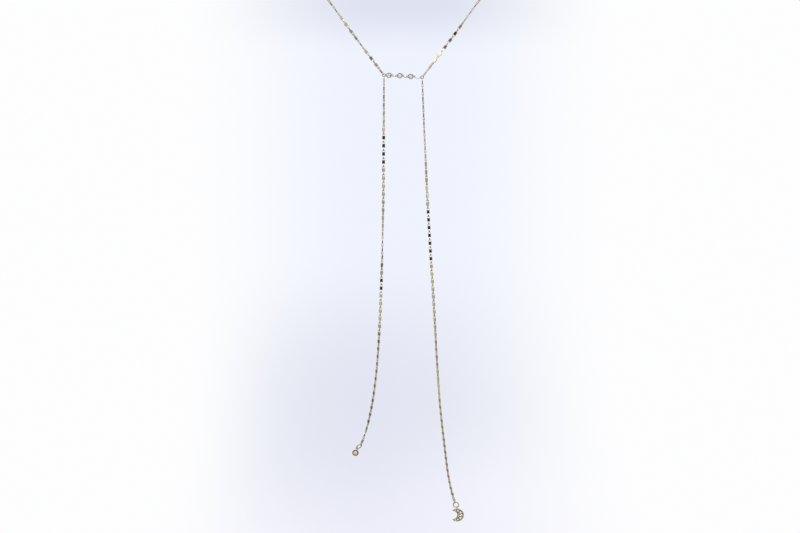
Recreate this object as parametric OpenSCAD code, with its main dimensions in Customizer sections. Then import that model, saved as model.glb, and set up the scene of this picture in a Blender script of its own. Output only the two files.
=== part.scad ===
// Drop necklace: two strands of mirror-plate chain rise from a short bar of three set stones and close
// at the nape, and two loose tails fall from the bar's ends to a round set stone and a small crescent.
// Millimetres. +Z is up and the front faces -Y. The origin is where the nape carries the necklace.

/* [Chain] */
// Distance from one link's cross bar to the next one's
link_pitch = 4.1; // [4.1:0.05:4.2]
// Width of a mirror plate
plate_w = 1.45; // [1.4:0.05:1.8]
// Length of a mirror plate
plate_l = 1.95; // [1.8:0.05:2.05]
// Thickness of a mirror plate
plate_t = 0.5; // [0.4:0.05:0.55]

/* [Bar] */
// Half the distance between the two rings that carry the bar
bar_half = 9.5; // [9.4:0.1:9.6]
// How far the bar falls from its left end to its right end
bar_fall = 1.0; // [0.8:0.1:1.2]
// Outer radius of a bar setting
bar_set_r = 1.35; // [1.3:0.05:1.4]
// Radius of a bar stone
bar_stone_r = 1.0; // [0.9:0.05:1.0]

/* [Drops] */
// Outer radius of the round drop's setting
drop_set_r = 1.7; // [1.65:0.05:1.8]
// Radius of the round drop's stone
drop_stone_r = 1.25; // [1.1:0.05:1.3]
// Outer radius of the crescent
moon_r = 3.75; // [3.75:0.05:3.9]
// Thickness of the crescent
moon_t = 1.2; // [1.1:0.05:1.4]

/* [Rings and clasp] */
// Radius of a junction ring, to the middle of its wire
junction_r = 0.75; // [0.75:0.01:0.8]
// Radius of a drop's jump ring, to the middle of its wire
jump_r = 1.6; // [1.5:0.05:1.7]
// Radius of the clasp ring, to the middle of its wire
clasp_r = 2.5; // [2.5:0.05:2.6]

/* [Hidden] */
$fn = 48;

// Link: the cross bar lies at its origin, and the tongue's loop holds the next bar one pitch below.
strip_t = 0.2;
cross_h = 0.1;
eye_w = 0.5;
eye_l = 0.95;
rail_w = 0.2;
corner = 0.16;
tongue_w = 0.38;
loop_in = 0.48;
loop_t = 0.2;
loop_corner = 0.12;
loop_reach = link_pitch + 0.32;

// Wires
junction_wire = 0.18;
jump_wire = 0.22;
clasp_wire = 0.55;
eye_r = 0.45;
eye_wire = 0.13;
link_wire = 0.12;
bail_r = 0.8;
bail_wire = 0.18;
// How far a bail's middle hangs below its ring's wire
bail_hang = 0.2;
clasp_jump_r = 1.2;
clasp_jump_wire = 0.18;
clasp_eye_r = 0.62;
clasp_eye_wire = 0.2;
// A cross bar hangs this far from the middle of its junction ring.
cross_seat = junction_r - junction_wire - 0.12 - cross_h;

// Links in each strand. The tables below are laid out for these counts.
neck_links = 48;
left_links = 48;
right_links = 58;

// Neck strand, from the bar up and round to the nape: [link, heading from +X, climb]
neck_path = [
    [0, 0, 52],
    [10, 4, 54],
    [16, 35, 46],
    [24, 82, 30],
    [34, 124, 14],
    [48, 180, 0]
];
// The left end of the bar sits higher, so that strand climbs less on its way back.
left_climb_loss = 0.6;
// Turn of the plates about their strand: [link, roll]
neck_left_roll = [
    [0, 66], [2, -4], [6, -172], [7, -206], [9, -270], [12, -360], [44, -360], [47, -450]
];
neck_right_roll = [
    [0, 75], [2, 42], [4, 4], [6, -4], [8, -78], [10, -90], [13, -180], [44, -180], [47, -270]
];

// Tails, from the bar down: [link, lean to +X, lean back, roll]
tail_left_path = [
    [0, -0.5, 0, 90],
    [2, -0.5, 0, 70],
    [5, -0.5, 0, 64],
    [6, -0.5, 0, 32],
    [7, -0.5, 0, 4],
    [10, -0.5, 0, -2],
    [12, -0.5, 0, -24],
    [15, -1, 0, -30],
    [20, -1.5, 0, -88],
    [21, -1.5, 0, -95],
    [24, -2, 0, -150],
    [25, -2, 0, -177],
    [26, -2.2, 0, -182],
    [28, -2.5, 0, -202],
    [32, -3.2, 0, -212],
    [34, -3.5, 0, -234],
    [36, -5, 0, -238],
    [40, -8, 2, -234],
    [44, -13, 5, -230],
    [47, -20, 5, -312]
];
tail_right_path = [
    [0, 2.5, 0, 90],
    [2, 2.5, 0, 78],
    [8, 3, 0, 74],
    [11, 3, 0, 50],
    [15, 3, 0, 25],
    [16, 3.5, 1, 3],
    [22, 4, 2, -3],
    [24, 4, 2, -22],
    [28, 3.5, 2, -30],
    [32, 3.5, 0, -52],
    [34, 3.5, 0, -60],
    [38, 4, 2, -50],
    [44, 6.5, 12, -52],
    [51, 7, 14, -48],
    [54, 11, 13, -50],
    [57, 15, 13, -20]
];
// Each drop's ring: its lean to -X and its turn about its own height
round_ring_lean = 42;
round_ring_roll = 45;
moon_ring_lean = -25;
moon_ring_roll = -15;
// Each drop's own lean to -X, and the turn of its bail about its height
round_lean = 20;
moon_lean = 0;
round_bail_turn = 30;
moon_bail_turn = 0;
// How far a drop's ring sits up inside the last link's loop
ring_lift = 0.19;

// Bar: distances of the settings' middles from the middle of the bar, and their heights
junction_left = [-bar_half - 0.2, 0, bar_fall / 2];
junction_right = [bar_half - 0.15, 0, -bar_fall / 2];
eye_out = bar_set_r + 0.3;
setting_1 = junction_left + [junction_r + eye_out, 0, 0];
setting_2 = [-1.85, 0, 0.3];
setting_3 = [3.65, 0, -0.1];
// Bow of each wire link, as the angle of its ends, and where the last one enters the right ring
link_bow = [40, 44];
last_entry = 20;

// Crescent: the inner circle's radius and the way its middle lies from the outer one's
moon_inner_r = 2.6;
moon_offset = 2.4;
moon_stone_gap = 0.04;
// Stones of the crescent: [angle from +X, distance from the middle, radius]
moon_stone_rows = [
    [-105, 3.02, 0.42],
    [-79, 2.64, 0.6],
    [-40, 2.5, 0.74],
    [0, 2.46, 0.76],
    [40, 2.5, 0.74],
    [79, 2.64, 0.6],
    [105, 3.02, 0.42],
    [-48, 1.2, 0.36],
    [0, 1.12, 0.4],
    [48, 1.2, 0.36]
];

function column(rows, c) = [for (row = rows) [row[0], row[c]]];
function value_at(rows, c, i) = lookup(i, column(rows, c));

// A vector turned about X, then Y, then Z, as rotate() turns a shape
function turn_x(v, a) = [v.x, v.y * cos(a) - v.z * sin(a), v.y * sin(a) + v.z * cos(a)];
function turn_y(v, a) = [v.x * cos(a) + v.z * sin(a), v.y, v.z * cos(a) - v.x * sin(a)];
function turn_z(v, a) = [v.x * cos(a) - v.y * sin(a), v.x * sin(a) + v.y * cos(a), v.z];
function turned(v, t) = turn_z(turn_y(turn_x(v, t.x), t.y), t.z);

// Each strand's turns, one for each link, and the points where its cross bars lie
function neck_turns(side, loss) = [
    for (i = [0:neck_links - 1])
        let (heading = value_at(neck_path, 1, i + 0.5), climb = value_at(neck_path, 2, i + 0.5))
        [0, -90 - climb + (i > 24 ? loss : 0), side > 0 ? heading : 180 - heading]
];
function tail_turns(rows, n) = [
    for (i = [0:n - 1]) [value_at(rows, 2, i), -value_at(rows, 1, i), 0]
];
function strand_points(start, turns) = [
    for (
        i = 0, p = start + cross_seat * turned([0, 0, -1], turns[0]);
        i <= len(turns);
        p = p + link_pitch * turned([0, 0, -1], turns[min(i, len(turns) - 1)]), i = i + 1
    ) p
];
function rolls(rows, c, n) = [for (i = [0:n - 1]) value_at(rows, c, i)];

right_turns = neck_turns(1, 0);
left_turns = neck_turns(-1, left_climb_loss);
right_points = strand_points(junction_right, right_turns);
left_points = strand_points(junction_left, left_turns);
tail_left_turns = tail_turns(tail_left_path, left_links);
tail_right_turns = tail_turns(tail_right_path, right_links);
tail_left_points = strand_points(junction_left, tail_left_turns);
tail_right_points = strand_points(junction_right, tail_right_turns);

// The two strand ends at the nape, and the clasp's place between them
right_end = right_points[neck_links];
left_end = left_points[neck_links];
nape = (right_end + left_end) / 2;
clasp_lean = atan2(right_end.z - left_end.z, right_end.x - left_end.x);
clasp_swing = atan2(right_end.y - left_end.y, right_end.x - left_end.x);
clasp_gap = norm(right_end - left_end);
// The left jump ring runs through the middle of the clasp's eye, so the clasp ring lies off the nape.
clasp_eye_out = clasp_r + clasp_wire + clasp_eye_r - 0.08;
clasp_side = 2 * clasp_jump_r + clasp_eye_out - clasp_gap / 2;
rest = nape - [0, clasp_wire, 0];

// The part stands with the nape's rest point at the origin.
module placed() {
    translate(-rest)
        children();
}

// A wire ring facing -Y, with its middle at the origin
module wire_ring(r, wire) {
    rotate([90, 0, 0])
        rotate_extrude()
            translate([r, 0])
                circle(r = wire);
}

// A wire ring facing +Z
module flat_ring(r, wire) {
    rotate_extrude()
        translate([r, 0])
            circle(r = wire);
}

// A box's outline with cut corners, from a half width and two heights
function cut_box(half, top, bottom, cut) = [
    [half - cut, top], [half, top - cut], [half, bottom + cut], [half - cut, bottom],
    [cut - half, bottom], [-half, bottom + cut], [-half, top - cut], [cut - half, top]
];

// Shapes an outline drawn in X and Z into a plate of a thickness along Y
module plate_of(thickness) {
    rotate([90, 0, 0])
        translate([0, 0, -thickness / 2])
            linear_extrude(thickness)
                children();
}

// One chain link: an eye with its cross bar, a mirror plate, and a tongue bent into a closed loop
module chain_link() {
    plate_of(strip_t)
        difference() {
            polygon(cut_box(eye_w + rail_w, cross_h, -eye_l - corner, corner));
            polygon(cut_box(eye_w, -cross_h, -eye_l, 0.1));
        }
    plate_of(plate_t)
        polygon(cut_box(plate_w / 2, -eye_l, -eye_l - plate_l, corner));
    rotate([0, 0, 90])
        plate_of(tongue_w)
            difference() {
                polygon(cut_box(loop_in + loop_t, 0.1 - eye_l - plate_l, -loop_reach - loop_t, loop_corner));
                polygon(cut_box(loop_in, -eye_l - plate_l - 0.08, -loop_reach, loop_corner));
            }
}

module chain(points, turns, roll) {
    for (i = [0:len(turns) - 1])
        translate(points[i])
            rotate(turns[i])
                rotate([0, 0, roll[i]])
                    chain_link();
}

module neck_chain_left() {
    color("#c9bf95")
        placed()
            chain(left_points, left_turns, rolls(neck_left_roll, 1, neck_links));
}

module neck_chain_right() {
    color("#c9bf95")
        placed()
            chain(right_points, right_turns, rolls(neck_right_roll, 1, neck_links));
}

module tail_chain_left() {
    color("#c9bf95")
        placed()
            chain(tail_left_points, tail_left_turns, rolls(tail_left_path, 3, left_links));
}

module tail_chain_right() {
    color("#c9bf95")
        placed()
            chain(tail_right_points, tail_right_turns, rolls(tail_right_path, 3, right_links));
}

module junction_ring(middle) {
    color("#b7a878")
        placed()
            translate(middle)
                wire_ring(junction_r, junction_wire);
}

// A closed cup for a round stone, facing -Y, with the stone's girdle at the origin
module setting_cup(outer, stone) {
    bore = stone + 0.04;
    rotate([90, 0, 0])
        rotate_extrude()
            polygon([
                [0, -stone - 0.15], [outer * 0.66, -stone - 0.15], [outer, -0.35], [outer, 0.18],
                [outer - 0.1, 0.28], [bore, 0.28], [bore, -0.06], [0.1, -stone * 0.9], [0, -stone * 0.9]
            ]);
}

// A cut stone facing -Y: a flat table, a faceted crown, a thin girdle and a pointed pavilion
module cut_stone(r, sides) {
    table = [for (k = [0:sides - 1]) let (a = 360 * k / sides) [0.56 * r * cos(a), -0.3 * r, 0.56 * r * sin(a)]];
    crown = [for (k = [0:sides - 1]) let (a = 360 * (k + 0.5) / sides) [r * cos(a), -0.03 * r, r * sin(a)]];
    girdle = [for (p = crown) [p.x, 0.03 * r, p.z]];
    culet = [[0, 0.8 * r, 0]];
    last = sides - 1;
    polyhedron(
        points = concat(table, crown, girdle, culet),
        faces = concat(
            [[for (k = [0:last]) k]],
            [for (k = [0:last]) [k, (k + last) % sides + sides, k + sides]],
            [for (k = [0:last]) [k, k + sides, (k + 1) % sides]],
            [for (k = [0:last]) let (m = (k + 1) % sides)
                [k + sides, k + 2 * sides, m + 2 * sides, m + sides]],
            [for (k = [0:last]) [k + 2 * sides, 3 * sides, (k + 1) % sides + 2 * sides]]
        )
    );
}

module bar_setting(middle, left_eye_flat) {
    color("#a89a68")
        placed()
            translate(middle) {
                setting_cup(bar_set_r, bar_stone_r);
                translate([eye_out, 0, 0])
                    wire_ring(eye_r, eye_wire);
                translate([-eye_out, 0, 0])
                    rotate([left_eye_flat ? 90 : 0, 0, 0])
                        wire_ring(eye_r, eye_wire);
            }
}

module bar_stone(middle) {
    color("#f2f4f6")
        placed()
            translate(middle)
                cut_stone(bar_stone_r, 10);
}

// A bowed wire with an eye at each end. Its eyes' outermost wires lie at the two points.
module bar_link(from, to, bow) {
    span = norm(to - from);
    fall = atan2(from.z - to.z, to.x - from.x);
    chord = span - 4 * eye_r * cos(bow);
    bow_r = chord / 2 / sin(bow);
    color("#b9bcb8")
        placed()
            translate(from)
                rotate([0, fall, 0]) {
                    rotate([0, bow, 0])
                        translate([eye_r, 0, 0])
                            flat_ring(eye_r, link_wire);
                    translate([span, 0, 0])
                        rotate([0, -bow, 0])
                            translate([-eye_r, 0, 0])
                                flat_ring(eye_r, link_wire);
                    translate([span / 2, 0, bow_r * cos(bow) - 2 * eye_r * sin(bow)])
                        rotate([90, 0, 0])
                            rotate([0, 0, -90 - bow])
                                rotate_extrude(angle = 2 * bow)
                                    translate([bow_r, 0])
                                        circle(r = link_wire);
                }
}

setting_eye = [eye_out, 0, 0];
last_hook = junction_right - (junction_r - eye_r) * [cos(last_entry), 0, sin(last_entry)];
last_start = setting_3 + setting_eye;
last_bow = last_entry + atan2(last_start.z - last_hook.z, last_hook.x - last_start.x);

// A drop's ring hangs in the last link's loop, which lies at the start point.
module hanging_ring(start, lean, roll) {
    placed()
        translate(start + [0, 0, ring_lift])
            rotate([0, lean, 0])
                rotate([0, 0, roll])
                    translate([0, 0, -jump_r])
                        wire_ring(jump_r, jump_wire);
}

// Sets a drop's middle below the far end of its ring.
module below_ring(start, ring_lean, lean, reach) {
    placed()
        translate(start + [0, 0, ring_lift] + 2 * jump_r * turn_y([0, 0, -1], ring_lean))
            rotate([0, lean, 0])
                translate([0, 0, -bail_hang - bail_r - reach + 0.06])
                    children();
}

module on_left_ring() {
    below_ring(tail_left_points[left_links], round_ring_lean, round_lean, drop_set_r)
        children();
}

module on_right_ring() {
    below_ring(tail_right_points[right_links], moon_ring_lean, moon_lean, moon_r)
        children();
}

// A small closed loop across a drop's top, for its ring to pass through
module bail(height, turn) {
    translate([0, 0, height + bail_r - 0.06])
        rotate([0, 0, 90 + turn])
            wire_ring(bail_r, bail_wire);
}

module drop_ring() {
    color("#d2c892")
        hanging_ring(tail_left_points[left_links], round_ring_lean, round_ring_roll);
}

module drop_setting() {
    color("#a89a68")
        on_left_ring() {
            setting_cup(drop_set_r, drop_stone_r);
            bail(drop_set_r, round_bail_turn);
        }
}

module drop_stone() {
    color("#e6d6b4")
        on_left_ring()
            cut_stone(drop_stone_r, 12);
}

module moon_ring() {
    color("#b59a72")
        hanging_ring(tail_right_points[right_links], moon_ring_lean, moon_ring_roll);
}

// The crescent opens to -X. Each stone sits in a bored seat, with small beads of metal holding it.
module moon_crescent() {
    edge = 0.22;
    seat_depth = 0.75;
    bead_r = 0.11;
    color("#c4bd84")
        on_right_ring() {
            difference() {
                rotate([90, 0, 0])
                    translate([0, 0, -moon_t / 2])
                        rotate_extrude()
                            polygon([
                                [0, 0], [moon_r - edge, 0], [moon_r, edge], [moon_r, moon_t - edge],
                                [moon_r - edge, moon_t], [0, moon_t]
                            ]);
                translate([-moon_offset, 0, 0])
                    rotate([90, 0, 0])
                        cylinder(r = moon_inner_r, h = moon_t + 1, center = true);
                for (row = moon_stone_rows)
                    translate([row[1] * cos(row[0]), -moon_t / 2 - 0.1, row[1] * sin(row[0])])
                        rotate([-90, 0, 0])
                            cylinder(r = row[2] + moon_stone_gap, h = min(seat_depth, row[2] + 0.25) + 0.1);
            }
            for (a = [-93, -60, -20, 20, 60, 93], far = abs(a) > 80 ? [3.12, 2.1] : [3.1, 1.84])
                translate([far * cos(a), -moon_t / 2 + 0.02, far * sin(a)])
                    sphere(r = bead_r);
            bail(moon_r, moon_bail_turn);
        }
}

module moon_stones() {
    color("#eef0f2")
        on_right_ring()
            for (row = moon_stone_rows)
                translate([row[1] * cos(row[0]), -moon_t / 2 + 0.05, row[1] * sin(row[0])])
                    cut_stone(row[2], 8);
}

module at_nape() {
    placed()
        translate(nape)
            rotate([0, -clasp_lean, clasp_swing])
                children();
}

// A plain closed ring for a clasp, with a soldered eye on its left
module clasp() {
    color("#c9bf95")
        at_nape()
            translate([clasp_side, 0, 0]) {
                wire_ring(clasp_r, clasp_wire);
                translate([-clasp_eye_out, 0, 0])
                    wire_ring(clasp_eye_r, clasp_eye_wire);
            }
}

module clasp_ring_left() {
    color("#c9bf95")
        at_nape()
            translate([clasp_jump_r - clasp_gap / 2, 0, 0])
                flat_ring(clasp_jump_r, clasp_jump_wire);
}

module clasp_ring_right() {
    color("#c9bf95")
        at_nape()
            translate([clasp_gap / 2 - clasp_jump_r, 0, 0])
                flat_ring(clasp_jump_r, clasp_jump_wire);
}

neck_chain_left();
neck_chain_right();
tail_chain_left();
tail_chain_right();
junction_ring(junction_left);  // junction_ring_left
junction_ring(junction_right);  // junction_ring_right
bar_setting(setting_1, true);  // bar_setting_1
bar_setting(setting_2, false);  // bar_setting_2
bar_setting(setting_3, false);  // bar_setting_3
bar_stone(setting_1);  // bar_stone_1
bar_stone(setting_2);  // bar_stone_2
bar_stone(setting_3);  // bar_stone_3
bar_link(setting_1 + setting_eye, setting_2 - setting_eye, link_bow[0]);  // bar_link_1
bar_link(setting_2 + setting_eye, setting_3 - setting_eye, link_bow[1]);  // bar_link_2
bar_link(last_start, last_hook, last_bow);  // bar_link_3
drop_ring();
drop_setting();
drop_stone();
moon_ring();
moon_crescent();
moon_stones();
clasp();
clasp_ring_left();
clasp_ring_right();
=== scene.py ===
"""Looks of a drop necklace: mirror-plate chain, a short bar of set stones, a round drop and a crescent."""

from __future__ import annotations

import logging
import math
import sys
from dataclasses import dataclass
from enum import Enum
from typing import Iterable, Sequence

import bmesh
import bpy
import numpy as np
from mathutils import Matrix, Vector


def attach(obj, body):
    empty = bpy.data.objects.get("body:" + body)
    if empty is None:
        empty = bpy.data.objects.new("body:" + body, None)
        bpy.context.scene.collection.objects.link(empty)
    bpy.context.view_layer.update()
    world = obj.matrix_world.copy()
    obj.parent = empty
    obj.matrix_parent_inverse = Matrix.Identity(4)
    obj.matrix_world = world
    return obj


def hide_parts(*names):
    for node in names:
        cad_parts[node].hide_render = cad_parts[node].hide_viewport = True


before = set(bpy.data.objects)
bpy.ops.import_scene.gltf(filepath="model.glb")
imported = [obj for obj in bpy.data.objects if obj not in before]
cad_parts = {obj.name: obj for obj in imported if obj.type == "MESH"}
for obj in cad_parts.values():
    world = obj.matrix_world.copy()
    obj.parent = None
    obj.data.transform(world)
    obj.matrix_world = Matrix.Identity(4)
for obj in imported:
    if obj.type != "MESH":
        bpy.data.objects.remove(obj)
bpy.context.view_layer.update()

MM = 0.001
BODY = "root"
# Points of a CAD solid closer than this are one, in metres
SAME_POINT = 1e-6
# Room between a stone's girdle and its bore, in millimetres
SEAT_GAP = 0.04
X = Vector((1.0, 0.0, 0.0))
Y = Vector((0.0, 1.0, 0.0))
Z = Vector((0.0, 0.0, 1.0))
ORIGIN = Vector((0.0, 0.0, 0.0))
# Turns a lathed shape from +Z to -Y, the way the settings face
FACING = Matrix.Rotation(math.radians(90), 4, "X")
# The stones of the bar face the front without a turn
UPRIGHT = Matrix.Identity(4)
log = logging.getLogger("necklace")

Colour = tuple[float, float, float]
Point = tuple[float, float, float]
Span = tuple[float, float]
Profile = Sequence[tuple[float, float]]


class Slot(Enum):
    """The record's material slots."""

    CHAIN = "chain_metal"
    FITTINGS = "fittings_metal"
    SETTING = "setting_metal"
    BAR_WIRE = "bar_wire"
    CRESCENT = "crescent_metal"
    CLEAR = "clear_stone"
    WARM = "warm_stone"


class Value:
    """A shader socket that takes part in Python arithmetic."""

    def __init__(self, graph: Graph, socket: bpy.types.NodeSocket) -> None:
        """Keeps the socket and the tree that it belongs to."""
        self.graph = graph
        self.socket = socket

    def _maths(self, operation: str, first: Value | float, second: Value | float) -> Value:
        """Adds one Math node.

        Args:
            operation: The Math node's operation.
            first: Its first value.
            second: Its second value.

        Returns:
            The node's result.
        """
        return self.graph.add("ShaderNodeMath", {"operation": operation}, {0: first, 1: second})

    def __add__(self, other: Value | float) -> Value:
        """Sum."""
        return self._maths("ADD", self, other)

    __radd__ = __add__

    def __mul__(self, other: Value | float) -> Value:
        """Product."""
        return self._maths("MULTIPLY", self, other)

    __rmul__ = __mul__

    def size(self) -> Value:
        """Value without its sign."""
        return self._maths("ABSOLUTE", self, 0.0)

    def angle(self, other: Value | float) -> Value:
        """Angle in degrees of a direction whose other part is given."""
        return self._maths("ARCTAN2", self, other) * math.degrees(1.0)

    def band(self, low: float, high: float, soft: float) -> Value:
        """Is 1 between two values and eases off beyond them.

        Args:
            low: The lower value.
            high: The higher value.
            soft: Width of the easing on either side.

        Returns:
            The share, from 0 to 1.
        """
        return self.step(low - soft, low) * self.step(high + soft, high)

    def step(self, start: float, end: float) -> Value:
        """Rises smoothly from 0 to 1.

        Args:
            start: Where the rise begins. It may be above the end, and the value then falls.
            end: Where it is done.

        Returns:
            The eased value.
        """
        settings = {"interpolation_type": "SMOOTHSTEP"}
        ends = {"Value": self, "From Min": min(start, end), "From Max": max(start, end)}
        ends |= {"To Min": float(start > end), "To Max": float(start < end)}
        return self.graph.add("ShaderNodeMapRange", settings, ends)


class Graph:
    """One node tree while it is written."""

    def __init__(self, tree: bpy.types.NodeTree) -> None:
        """Empties the tree."""
        self.tree = tree
        tree.nodes.clear()

    def add(
        self,
        kind: str,
        settings: dict[str, object] | None = None,
        inputs: dict[str | int, object] | None = None,
        output: str | int = 0,
    ) -> Value:
        """Adds a node, sets it and feeds it.

        Args:
            kind: The node's type.
            settings: Its own settings, set first.
            inputs: Values or links of its sockets, by name or number.
            output: The output that is wanted.

        Returns:
            That output.
        """
        node = self.tree.nodes.new(kind)
        for key, value in (settings or {}).items():
            setattr(node, key, value)
        for key, value in (inputs or {}).items():
            socket = node.inputs[key]
            if isinstance(value, Value):
                self.tree.links.new(value.socket, socket)
            elif hasattr(value, "__len__") and len(value) == 3 and socket.type == "RGBA":
                socket.default_value = (*value, 1.0)
            else:
                socket.default_value = value
        return Value(self, node.outputs[output] if len(node.outputs) else None)

    def place(self, scale: Point = (1.0, 1.0, 1.0)) -> Value:
        """Object coordinates in millimetres.

        Args:
            scale: How much each axis is stretched.

        Returns:
            The coordinates.
        """
        raw = self.add("ShaderNodeTexCoord", output="Object")
        sizes = tuple(s / MM for s in scale)
        return self.add("ShaderNodeMapping", inputs={"Vector": raw, "Scale": sizes})

    def noise(self, place: Value, scale: float, detail: float, seed: float) -> Value:
        """Smooth noise.

        Args:
            place: The coordinates to read.
            scale: Cycles for each millimetre.
            detail: Octaves.
            seed: Shift in the fourth dimension.

        Returns:
            The noise, from 0 to 1.
        """
        inputs = {"Vector": place, "W": seed, "Scale": scale, "Detail": detail}
        return self.add("ShaderNodeTexNoise", {"noise_dimensions": "4D"}, inputs)

    def blend(self, share: Value, first: Value | Colour, second: Value | Colour) -> Value:
        """A colour between two, by a share from 0 to 1."""
        return self.add("ShaderNodeMix", {"data_type": "RGBA"}, {0: share, 6: first, 7: second}, output=2)

    def parts(self, vector: Value) -> tuple[Value, Value, Value]:
        """The three parts of a vector."""
        outputs = self.add("ShaderNodeSeparateXYZ", inputs={"Vector": vector}).socket.node.outputs
        return tuple(Value(self, outputs[name]) for name in ("X", "Y", "Z"))


def new_material(name: str) -> tuple[bpy.types.Material, Graph]:
    """Starts a material.

    Args:
        name: Its name.

    Returns:
        The material, and its empty node tree to write.
    """
    mat = bpy.data.materials.new(name)
    mat.use_nodes = True
    return mat, Graph(mat.node_tree)


@dataclass(frozen=True)
class PlatedMetal:
    """Polished metal with a thin gold plating, a little browner where the plating is thin."""

    name: str
    colour: Colour
    thin: Colour
    roughness: float
    # Clouds and specks for each millimetre
    clouds: float = 0.35
    specks: float = 6.0
    # Drawing marks for each millimetre, which run along Z
    marks: Point = (9.0, 9.0, 1.1)
    # How much rougher clouds and marks make the metal
    clouds_rough: float = 0.05
    marks_rough: float = 0.04
    # Strength and depth of the relief
    relief: float = 0.12
    relief_mm: float = 0.004

    def material(self) -> bpy.types.Material:
        """Writes the material.

        Returns:
            The material.
        """
        mat, graph = new_material(self.name)
        place = graph.place()
        clouds = graph.noise(place, self.clouds, detail=3.0, seed=1.7)
        specks = graph.noise(place, self.specks, detail=2.0, seed=4.1)
        marks = graph.noise(graph.place(self.marks), 1.0, detail=2.0, seed=8.3)
        # The steps say from which height of the noise a mark shows, and where it shows in full
        worn = clouds.step(0.42, 0.72) * 0.8 + specks.step(0.55, 0.8) * 0.2
        rough = self.roughness + self.clouds_rough * clouds.step(0.35, 0.75)
        bump = graph.add(
            "ShaderNodeBump",
            inputs={
                "Strength": self.relief,
                "Distance": self.relief_mm * MM,
                "Height": 0.6 * marks + 0.4 * specks,
            },
        )
        shader = graph.add(
            "ShaderNodeBsdfPrincipled",
            inputs={
                "Base Color": graph.blend(worn, self.colour, self.thin),
                "Roughness": rough + self.marks_rough * marks.step(0.5, 0.85),
                "Metallic": 1.0,
                "Normal": bump,
            },
        )
        graph.add("ShaderNodeOutputMaterial", inputs={"Surface": shader})
        return mat


@dataclass(frozen=True)
class CutGlass:
    """A clear or tinted stone, with faint veils inside and dust on its facets."""

    name: str
    colour: Colour
    veil: Colour
    index: float
    see_through: float
    # Veils and specks of dust for each millimetre
    veils: float = 1.6
    dust: float = 14.0
    polish: float = 0.015
    dust_rough: float = 0.05

    def material(self) -> bpy.types.Material:
        """Writes the material.

        Returns:
            The material.
        """
        mat, graph = new_material(self.name)
        place = graph.place()
        veils = graph.noise(place, self.veils, detail=3.0, seed=2.2)
        dust = graph.noise(place, self.dust, detail=1.0, seed=5.0)
        shader = graph.add(
            "ShaderNodeBsdfPrincipled",
            inputs={
                "Base Color": graph.blend(veils.step(0.45, 0.75), self.colour, self.veil),
                "Roughness": self.polish + self.dust_rough * dust.step(0.62, 0.8),
                "IOR": self.index,
                "Transmission Weight": self.see_through,
            },
        )
        graph.add("ShaderNodeOutputMaterial", inputs={"Surface": shader})
        return mat


FINISHES: dict[Slot, PlatedMetal | CutGlass] = {
    Slot.CHAIN: PlatedMetal("champagne_chain", (0.79, 0.725, 0.48), (0.64, 0.58, 0.37), 0.06),
    # The fittings' plating is far darker than the chain's: partly its own browner tone, partly painted
    # shade, which darkens the thin rings and the clasp
    Slot.FITTINGS: PlatedMetal("champagne_fittings", (0.46, 0.38, 0.23), (0.33, 0.25, 0.15), 0.14),
    Slot.SETTING: PlatedMetal("champagne_settings", (0.58, 0.53, 0.39), (0.42, 0.37, 0.25), 0.16),
    Slot.BAR_WIRE: PlatedMetal("pale_wire", (0.46, 0.45, 0.41), (0.36, 0.34, 0.30), 0.15),
    Slot.CRESCENT: PlatedMetal("champagne_crescent", (0.86, 0.78, 0.42), (0.64, 0.51, 0.30), 0.34),
    Slot.CLEAR: CutGlass("clear_stone", (0.985, 0.985, 0.97), (0.93, 0.92, 0.88), 1.75, 0.5),
    Slot.WARM: CutGlass("warm_stone", (0.88, 0.75, 0.48), (0.80, 0.64, 0.39), 1.6, 0.4),
}


class Finishes:
    """The written materials of the necklace, one for each slot."""

    def __init__(self) -> None:
        """Writes the materials."""
        self.of = {slot: finish.material() for slot, finish in FINISHES.items()}


@dataclass
class Lie:
    """Where a CAD solid lies: its middle, its axes from its longest to its flattest, and its points."""

    middle: Vector
    axes: list[Vector]
    points: np.ndarray

    @staticmethod
    def of_triangles(corners: np.ndarray) -> Lie:
        """Weighs a closed skin of triangles.

        Args:
            corners: Triangles by corners by coordinates.

        Returns:
            The skin's lie.
        """
        sides = np.cross(corners[:, 1] - corners[:, 0], corners[:, 2] - corners[:, 0])
        areas = np.linalg.norm(sides, axis=1) / 2
        middle = (areas[:, None] * corners.mean(1)).sum(0) / areas.sum()
        shifted = corners - middle
        sums = shifted.sum(1)
        # A triangle's spread is a twelfth of its area times the products of its corners and of their sum
        spread = np.einsum("t,ti,tj->ij", areas / 12, sums, sums)
        spread += np.einsum("t,tci,tcj->ij", areas / 12, shifted, shifted)
        order = np.linalg.eigh(spread)[1][:, ::-1]
        return Lie(Vector(middle), [Vector(order[:, k]) for k in range(3)], corners.reshape(-1, 3))


def solids_of(node: str) -> list[Lie]:
    """Splits a CAD node into its loose solids.

    Args:
        node: The node's name.

    Returns:
        Each solid's lie, in the order of the node's faces.
    """
    work = bmesh.new()
    work.from_mesh(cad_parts[node].data)
    bmesh.ops.remove_doubles(work, verts=work.verts, dist=SAME_POINT)
    bmesh.ops.triangulate(work, faces=work.faces)
    seen: set[bmesh.types.BMFace] = set()
    solids: list[Lie] = []
    for first in work.faces:
        if first in seen:
            continue
        seen.add(first)
        group = [first]
        for face in group:
            for edge in face.edges:
                for other in edge.link_faces:
                    if other not in seen:
                        seen.add(other)
                        group.append(other)
        corners = np.array([[v.co[:] for v in face.verts] for face in group])
        solids.append(Lie.of_triangles(corners))
    work.free()
    return solids


def turns(count: int, shift: float = 0.0) -> list[float]:
    """Angles of equal steps round a circle, in radians."""
    return [2 * math.pi * (k + shift) / count for k in range(count)]


def circle(radius: float, count: int, middle: Vector, across: Vector, up: Vector) -> list[Vector]:
    """Points of a circle.

    Args:
        radius: Its radius.
        count: How many points.
        middle: Its middle.
        across: First direction in its plane.
        up: Second direction in its plane.

    Returns:
        The points in order.
    """
    return [middle + radius * (math.cos(a) * across + math.sin(a) * up) for a in turns(count)]


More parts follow.
